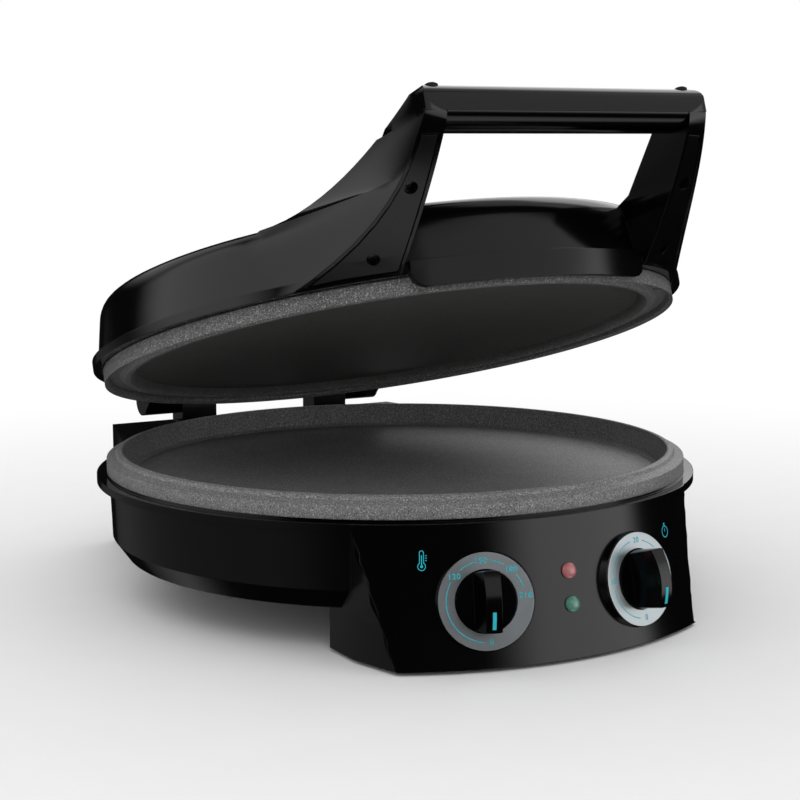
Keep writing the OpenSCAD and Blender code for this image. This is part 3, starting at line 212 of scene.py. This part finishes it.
def satin_metal(name, colour, rough, grain=0.00001, centre=None):
    """Metal or silver paint, with turning marks round the centre where one is given."""
    f = new_finish(name)
    if centre:
        spot, axis = Vector(centre[0]), Vector(centre[1]).normalized()
        x, y, z = f.xyz(f.place())
        parts = [x - spot.x, y - spot.y, z - spot.z]
        depth = parts[0] * axis.x + parts[1] * axis.y + parts[2] * axis.z
        flat = [p - depth * a for p, a in zip(parts, axis)]
        radius = f.add("ShaderNodeMath", {"operation": "SQRT"},
                       {0: flat[0] * flat[0] + flat[1] * flat[1] + flat[2] * flat[2]})
        marks = f.noise(9000.0, 2.0, 0.6, f.add("ShaderNodeCombineXYZ", {}, {0: radius, 1: 0.0, 2: 0.0}))
    else:
        marks = f.noise(700.0, 3.0, 0.6, f.moved(scale=(1, 1, 6)))
    cloud = f.noise(90.0, 3.0)
    return f.surface(
        colour=f.mix(marks * 0.35, colour, tuple(c * 0.82 for c in colour)), metal=1.0,
        rough=rough + 0.08 * (cloud - 0.5) + 0.06 * (marks - 0.5),
        normal=f.bumped(marks, grain, 0.6, 0.0002))


def lens_finish(name, colour, deep):
    f = new_finish(name)
    ribs = f.noise(900.0, 2.0)
    return f.surface(colour=f.mix(ribs, colour, deep), rough=0.24 + 0.06 * ribs,
                     normal=f.bumped(ribs, 0.00003, 0.5), specular=0.6, coat=1.0, coat_rough=0.04)


def painted(name, colour, rough=0.45):
    f = new_finish(name)
    patch = f.noise(1800.0, 3.0)
    return f.surface(colour=f.mix(patch * 0.5, colour, tuple(c * 0.75 for c in colour)),
                     rough=rough + 0.1 * patch, normal=f.bumped(patch, 0.00001, 0.4), specular=0.4)


def woven_sleeve(name, colour):
    f = new_finish(name)
    weave = f.add("ShaderNodeTexWave", {"wave_type": "BANDS", "bands_direction": "DIAGONAL"},
                  {"Vector": f.place(), "Scale": 500.0, "Distortion": 2.0}, out=1)
    return f.surface(colour=f.mix(weave * 0.5, colour, tuple(c * 0.5 for c in colour)),
                     rough=0.6 + 0.1 * weave, normal=f.bumped(weave, 0.00008, 0.7), specular=0.3)


# Frames on the control panel: X to the right, Y up, Z out of the face
def panel_radius(z):
    share = (z - PANEL_LOW) / PANEL_TALL
    return FLANGE_R + PANEL_AXIS + PANEL_FLARE * (1 - share) - 4 * PANEL_SAG * share * (1 - share)


def panel_frame(angle, z, turn, tilt, stand):
    a, turn, tilt = radians(angle), radians(turn), radians(tilt)
    foot = Vector((panel_radius(z) * sin(a), PANEL_AXIS + SHIFT - panel_radius(z) * cos(a), z))
    out = Vector((sin(turn) * cos(tilt), -cos(turn) * cos(tilt), sin(tilt)))
    right = Vector((cos(turn), sin(turn), 0))
    place = Matrix((right, out.cross(right), out)).transposed().to_4x4()
    place.translation = foot + out * stand
    return place


LEFT_DIAL = panel_frame(-14.9, DIAL_HIGH, -19, DIAL_TILT, DIAL_STAND)
RIGHT_DIAL = panel_frame(13.7, DIAL_HIGH, 12, DIAL_TILT, DIAL_STAND)
LEFT_SIGN = panel_frame(-24.6, 0.0552, -24.6, PANEL_TILT, 0.00005)
RIGHT_SIGN = panel_frame(24.35, 0.0537, 24.35, PANEL_TILT, 0.00005)

gloss_black = moulded("gloss_black", (0.0009, 0.0009, 0.0011), 0.13)
panel_black = moulded("panel_black", (0.0008, 0.0008, 0.0010), 0.16, wave=0.03)
cover_black = moulded("cover_black", (0.0014, 0.0014, 0.0016), 0.22, 0.00002)
knob_black = moulded("knob_black", (0.0008, 0.0008, 0.0010), 0.15, edge=0.0003)
under_black = moulded("under_black", (0.010, 0.010, 0.011), 0.48, 0.00006)
rubber = moulded("rubber", (0.016, 0.016, 0.016), 0.75, 0.00004, specular=0.25)
stone = stone_coat("stone")
dark_stone = dark_coat("dark_stone")
# The same dial metal colour as right_silver, made a quarter brighter all over: painted light on the
# thermostat ring
left_silver_painted_light = satin_metal("left_silver_painted_light", (0.70, 0.76, 0.79), 0.38,
                          centre=(LEFT_DIAL.translation, LEFT_DIAL.col[2][:3]))
right_silver = satin_metal("right_silver", (0.56, 0.61, 0.63), 0.36,
                           centre=(RIGHT_DIAL.translation, RIGHT_DIAL.col[2][:3]))
steel = satin_metal("steel", (0.55, 0.55, 0.56), 0.32)
zinc = satin_metal("zinc", (0.50, 0.51, 0.53), 0.30)
heater_steel = satin_metal("heater_steel", (0.16, 0.155, 0.15), 0.5, 0.00003)
bright_sheet = satin_metal("bright_sheet", (0.68, 0.69, 0.70), 0.28)
cyan = painted("cyan", (0.016, 0.46, 0.56))
red_glow = lens_finish("red_glow", (0.50, 0.17, 0.175), (0.30, 0.09, 0.10))
green_glow = lens_finish("green_glow", (0.10, 0.27, 0.20), (0.05, 0.16, 0.12))
pale_plastic = moulded("pale_plastic", (0.56, 0.54, 0.48), 0.42, 0.00003)
ceramic = painted("ceramic", (0.62, 0.56, 0.40), 0.55)
sleeve = woven_sleeve("sleeve", (0.32, 0.045, 0.02))

FINISHES = {
    gloss_black: ["base_housing", "lid_housing", "handle_grip"],
    panel_black: ["front_panel"],
    cover_black: ["arm_cover_left", "arm_cover_right"],
    knob_black: ["thermostat_knob", "timer_knob", "thermostat_pedestal", "timer_pedestal"],
    under_black: ["bowl_bottom", "control_box_cover", "rear_box_cover", "cord_gland"],
    rubber: ["foot_front_left", "foot_front_right", "foot_rear_left", "foot_rear_right",
             "handle_pad_left", "handle_pad_right"],
    stone: ["lower_plate"],
    dark_stone: ["upper_plate"],
    left_silver_painted_light: ["thermostat_ring"],
    right_silver: ["timer_ring"],
    steel: ["hinge_pin_left", "hinge_pin_right", "thermostat_shaft", "timer_shaft", "plate_sensor"],
    zinc: ["cover_screws", "lower_plate_screws", "upper_plate_screws", "arm_screws",
           "thermostat_nut", "timer_nut"],
    heater_steel: ["lower_heater", "upper_heater"],
    bright_sheet: ["lower_reflector", "upper_reflector"],
    cyan: ["thermostat_pointer", "timer_pointer"],
    red_glow: ["red_lens"],
    green_glow: ["green_lens"],
    pale_plastic: ["terminal_block", "lamp_holder", "thermostat", "timer"],
    ceramic: ["thermal_fuse"],
    sleeve: ["base_wiring", "lid_wiring"],
}
FINISH_OF = {node: finish for finish, nodes in FINISHES.items() for node in nodes}
SLOTS = {
    gloss_black: "black_plastic", panel_black: "panel_plastic", cover_black: "black_plastic",
    knob_black: "black_plastic", under_black: "inner_plastic", rubber: "foot_rubber", stone: "stone_coat",
    dark_stone: "dark_coat", left_silver_painted_light: "dial_steel", right_silver: "dial_silver", cyan: "pointer_cyan",
    red_glow: "lens_red", green_glow: "lens_green", zinc: "zinc",
}


def wear(piece, finish):
    piece.data.materials.clear()
    piece.data.materials.append(finish)
    finish in SLOTS
    return piece


for name, node in frame["nodes"].items():
    for i in range(max(1, len(node.material_slots))):
        if node.material_slots:
            node.material_slots[i].material = FINISH_OF[name]
        else:
            node.data.materials.append(FINISH_OF[name])


# Modelling helpers

def only(piece):
    bpy.ops.object.select_all(action="DESELECT")
    piece.select_set(True)
    bpy.context.view_layer.objects.active = piece


def body_of(name):
    return next(body for body, nodes in frame["record"]["behaviour"]["bodies"].items() if name in nodes)


def smoothed(name, angle=28):
    """Copy of a node with its corners joined and its curved faces smooth."""
    node = frame["nodes"][name]
    only(node)
    bpy.ops.object.duplicate()
    piece = bpy.context.view_layer.objects.active
    piece.name = name + "_smooth"
    for key in [k for k in piece.keys() if k.startswith("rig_")]:
        del piece[key]
    piece.parent = None
    piece.matrix_world = Matrix.Identity(4)
    bpy.ops.mesh.customdata_custom_splitnormals_clear()
    bpy.ops.object.mode_set(mode="EDIT")
    bpy.ops.mesh.select_all(action="SELECT")
    bpy.ops.mesh.remove_doubles(threshold=0.000002)
    bpy.ops.object.mode_set(mode="OBJECT")
    bpy.ops.object.shade_smooth_by_angle(angle=radians(angle))
    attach(piece, body_of(name))
    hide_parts(name)
    return piece


# How sharp a corner stays an edge on each smooth copy, in degrees
SMOOTH = {"base_housing": 26, "lid_housing": 30, "front_panel": 26, "handle_grip": 30, "lower_plate": 24,
          "upper_plate": 24, "red_lens": 30, "green_lens": 30, "thermostat_knob": 30, "timer_knob": 30,
          "thermostat_ring": 30, "timer_ring": 30, "thermostat_pedestal": 30, "timer_pedestal": 30,
          "arm_cover_left": 30, "arm_cover_right": 30, "handle_pad_left": 30, "handle_pad_right": 30,
          "thermostat_pointer": 30, "timer_pointer": 30}
for smooth_node, smooth_angle in SMOOTH.items():
    smoothed(smooth_node, smooth_angle)


# Printed marks, drawn flat and then laid on the dial rings and the panel

def clock(radius, angle, centre=(0, 0)):
    """Point at a clock hand's angle in degrees, 0 at the top."""
    return (centre[0] + radius * sin(radians(angle)), centre[1] + radius * cos(radians(angle)))


def arc(radius, start, end, centre=(0, 0)):
    steps = max(4, int(abs(end - start) / 5))       # one for every 5 degrees
    return [clock(radius, start + (end - start) * i / steps, centre) for i in range(steps + 1)]


def stroke(points, width):
    """Flat raised line through points."""
    curve = bpy.data.curves.new("stroke", "CURVE")
    curve.dimensions, curve.use_fill_caps = "3D", True
    curve.bevel_depth, curve.bevel_resolution = width / 2, 2
    line = curve.splines.new("POLY")
    line.points.add(len(points) - 1)
    for point, (x, y) in zip(line.points, points):
        point.co = (x, y, 0, 1)
    piece = bpy.data.objects.new("stroke", curve)
    bpy.context.scene.collection.objects.link(piece)
    only(piece)
    bpy.ops.object.convert(target="MESH")
    piece = bpy.context.view_layer.objects.active
    piece.scale = (1, 1, 2 * INK / width)
    return piece


def numeral(label, place, size):
    bpy.ops.object.select_all(action="DESELECT")
    bpy.ops.object.text_add(location=(place[0], place[1], 0))
    piece = bpy.context.view_layer.objects.active
    piece.data.body, piece.data.size, piece.data.extrude = label, size, INK
    piece.data.offset, piece.data.space_character = 0.00007, 1.12
    piece.data.align_x, piece.data.align_y = "CENTER", "CENTER"
    only(piece)
    bpy.ops.object.convert(target="MESH")
    return bpy.context.view_layer.objects.active


def printed(name, place, parts, finish):
    """Joins flat marks, and lays them on a frame's plane."""
    only(parts[0])
    for part in parts:
        part.select_set(True)
    bpy.ops.object.transform_apply(location=True, rotation=True, scale=True)
    bpy.ops.object.join()
    marks = bpy.context.view_layer.objects.active
    marks.name = name
    marks.matrix_world = place
    only(marks)
    bpy.ops.object.transform_apply(location=True, rotation=True, scale=True)
    wear(marks, finish)
    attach(marks, "base")


def scale_marks(numbers, arcs):
    """Numbers at their angles round a dial, and arcs between them."""
    return [numeral(label, clock(SCALE_R, angle), 0.0040) for label, angle in numbers] \
        + [stroke(arc(SCALE_R, *ends), 0.0005) for ends in arcs]


printed("temperature_scale", LEFT_DIAL,
        scale_marks((("0", 175), ("120", -51), ("150", -6), ("180", 41), ("210", 84)),
                    ((-175, -61), (-39, -15), (8, 29), (52, 73))), cyan)
printed("minute_scale", RIGHT_DIAL,
        scale_marks((("0", 178), ("10", -85), ("20", 3)),
                    ((-168, -97), (-74, -10), (16, 44))), cyan)
printed("thermometer_sign", LEFT_SIGN,
        [stroke([(-0.0010, -0.0019), *arc(0.0010, -90, 90, (0, 0.0034)), (0.0010, -0.0019)], 0.00045),
         stroke(arc(0.0019, 32, 328, (0, -0.0033)), 0.00045),
         stroke([(0, -0.0036), (0, 0.0022)], 0.00055),
         stroke(arc(0.0004, 0, 360, (0, -0.0033)), 0.0007)]
        + [stroke([(0.0017, y), (0.0026, y)], 0.0004) for y in (-0.0004, 0.0008, 0.0020)], cyan)
printed("watch_sign", RIGHT_SIGN,
        [stroke(arc(0.0029, 0, 360, (0, -0.0006)), 0.00055),
         stroke([(0, -0.0006), (0, 0.0012)], 0.0005),
         stroke([(0, 0.0024), (0, 0.0033)], 0.0008),
         stroke([(-0.0008, 0.0036), (0.0008, 0.0036)], 0.0006)], cyan)


# Camera, at the photograph's angle
def look(azimuth, elevation, roll, distance, target, lens):
    az, el = radians(azimuth), radians(elevation)
    back = Vector((sin(az) * cos(el), -cos(az) * cos(el), sin(el)))
    data = bpy.data.cameras.new("view")
    data.lens, data.sensor_width, data.clip_start = lens, 36, 0.01
    camera = bpy.data.objects.new("view", data)
    bpy.context.scene.collection.objects.link(camera)
    camera.location = Vector(target) + back * distance
    camera.rotation_mode = "QUATERNION"
    camera.rotation_quaternion = (-back).to_track_quat("-Z", "Y") @ Quaternion((0, 0, 1), radians(roll))
    bpy.context.scene.camera = camera


look(-29.461, 8.116, -0.178, 1.0323, (0.003383, SHIFT, 0.10895), 79.74)


# Studio: white to the eye, with soft boxes and dark screens in what gloss shows
def studio():
    world = bpy.data.worlds.new("studio")
    bpy.context.scene.world = world
    f = Finish(world)
    x, y, z = f.xyz(f.add("ShaderNodeTexCoord", out="Generated"))
    turn = f.add("ShaderNodeMath", {"operation": "ARCTAN2"}, {0: x, 1: -1.0 * y}) * (180 / pi)
    rise = f.add("ShaderNodeMath", {"operation": "ARCSINE"}, {0: z}) * (180 / pi)
    behind = f.add("ShaderNodeMath", {"operation": "ABSOLUTE"}, {0: turn})
    # Soft boxes: where each stands, in degrees of turn and rise, and how bright it is
    boxes = [
        (turn.step(2, 24) * (1 - turn.step(60, 71)) * rise.between(-17, 20, 3), 1.40),
        (turn.between(-16, 76, 6) * rise.between(19, 51, 3), 0.55),
        (turn.between(62, 135, 8) * rise.between(36, 74, 6), 0.50),
        (turn.step(-148, -128) * (1 - turn.step(-88, -66)) * rise.between(0, 47, 5), 0.95),
        ((1 - turn.step(-150, -138)) * rise.between(16, 52, 8), 0.60),
        (turn.between(-12, 82, 8) * (1 - rise.step(-48, -40)), 0.62),
        (turn.between(-175, -60, 20) * rise.between(-34, -5, 6), 0.13),
        (behind.step(150, 165) * (1 - rise.step(-45, -30)), 0.30),
    ]
    backdrop = turn.between(100, 152, 4) * rise.between(10, 52, 4)
    gloss = 0.005 + backdrop * 1.6
    for share, level in boxes:
        gloss = gloss + share * level
    ray = f.add("ShaderNodeLightPath")
    rays = {s.name: Value(f, s) for s in ray.socket.node.outputs}
    seen = rays["Is Camera Ray"] + rays["Is Transmission Ray"]
    glossy = rays["Is Glossy Ray"] * (1 - seen)
    level = seen + glossy * gloss + (1 - seen) * (1 - rays["Is Glossy Ray"]) * 0.92
    f.show(f.add("ShaderNodeBackground", {}, {"Color": (1.0, 1.0, 1.0), "Strength": level}),
           "ShaderNodeOutputWorld")


def soft_lamp(name, place, target, size, energy):
    data = bpy.data.lights.new(name, "AREA")
    data.shape, data.size, data.energy = "DISK", size, energy
    lamp = bpy.data.objects.new(name, data)
    bpy.context.scene.collection.objects.link(lamp)
    lamp.location = place
    lamp.rotation_mode = "QUATERNION"
    lamp.rotation_quaternion = (Vector(target) - Vector(place)).to_track_quat("-Z", "Y")
    lamp.visible_glossy = False


def floor():
    bpy.ops.object.select_all(action="DESELECT")
    bpy.ops.mesh.primitive_circle_add(vertices=96, radius=6.0, fill_type="NGON")
    ground = bpy.context.view_layer.objects.active
    ground.name = "studio_floor"
    f = new_finish("pale_floor")
    x, y, _ = f.xyz(f.place())
    far = f.add("ShaderNodeMath", {"operation": "SQRT"}, {0: x * x + y * y}).step(0.30, 0.85)
    ray = f.add("ShaderNodeLightPath")
    rays = {s.name: Value(f, s) for s in ray.socket.node.outputs}
    seen = rays["Is Camera Ray"] + rays["Is Glossy Ray"] + rays["Is Transmission Ray"]
    mottle = f.noise(30.0, 3.0)
    matt = f.add("ShaderNodeBsdfDiffuse", {},
                 {"Color": f.mix(mottle, (0.90, 0.90, 0.90), (0.93, 0.93, 0.93))})
    white = f.add("ShaderNodeEmission", {}, {"Color": (1.0, 1.0, 1.0), "Strength": 1.0})
    share = f.add("ShaderNodeMath", {"operation": "MINIMUM"}, {0: seen, 1: 1.0}) * far
    wear(ground, f.show(f.add("ShaderNodeMixShader", {}, {0: share, 1: matt, 2: white})))
    ground.visible_glossy = False


studio()
soft_lamp("key", (-0.9, -1.6, 1.7), (0, 0, 0.1), 1.2, 6)
floor()

bpy.context.scene.view_settings.view_transform = "Standard"
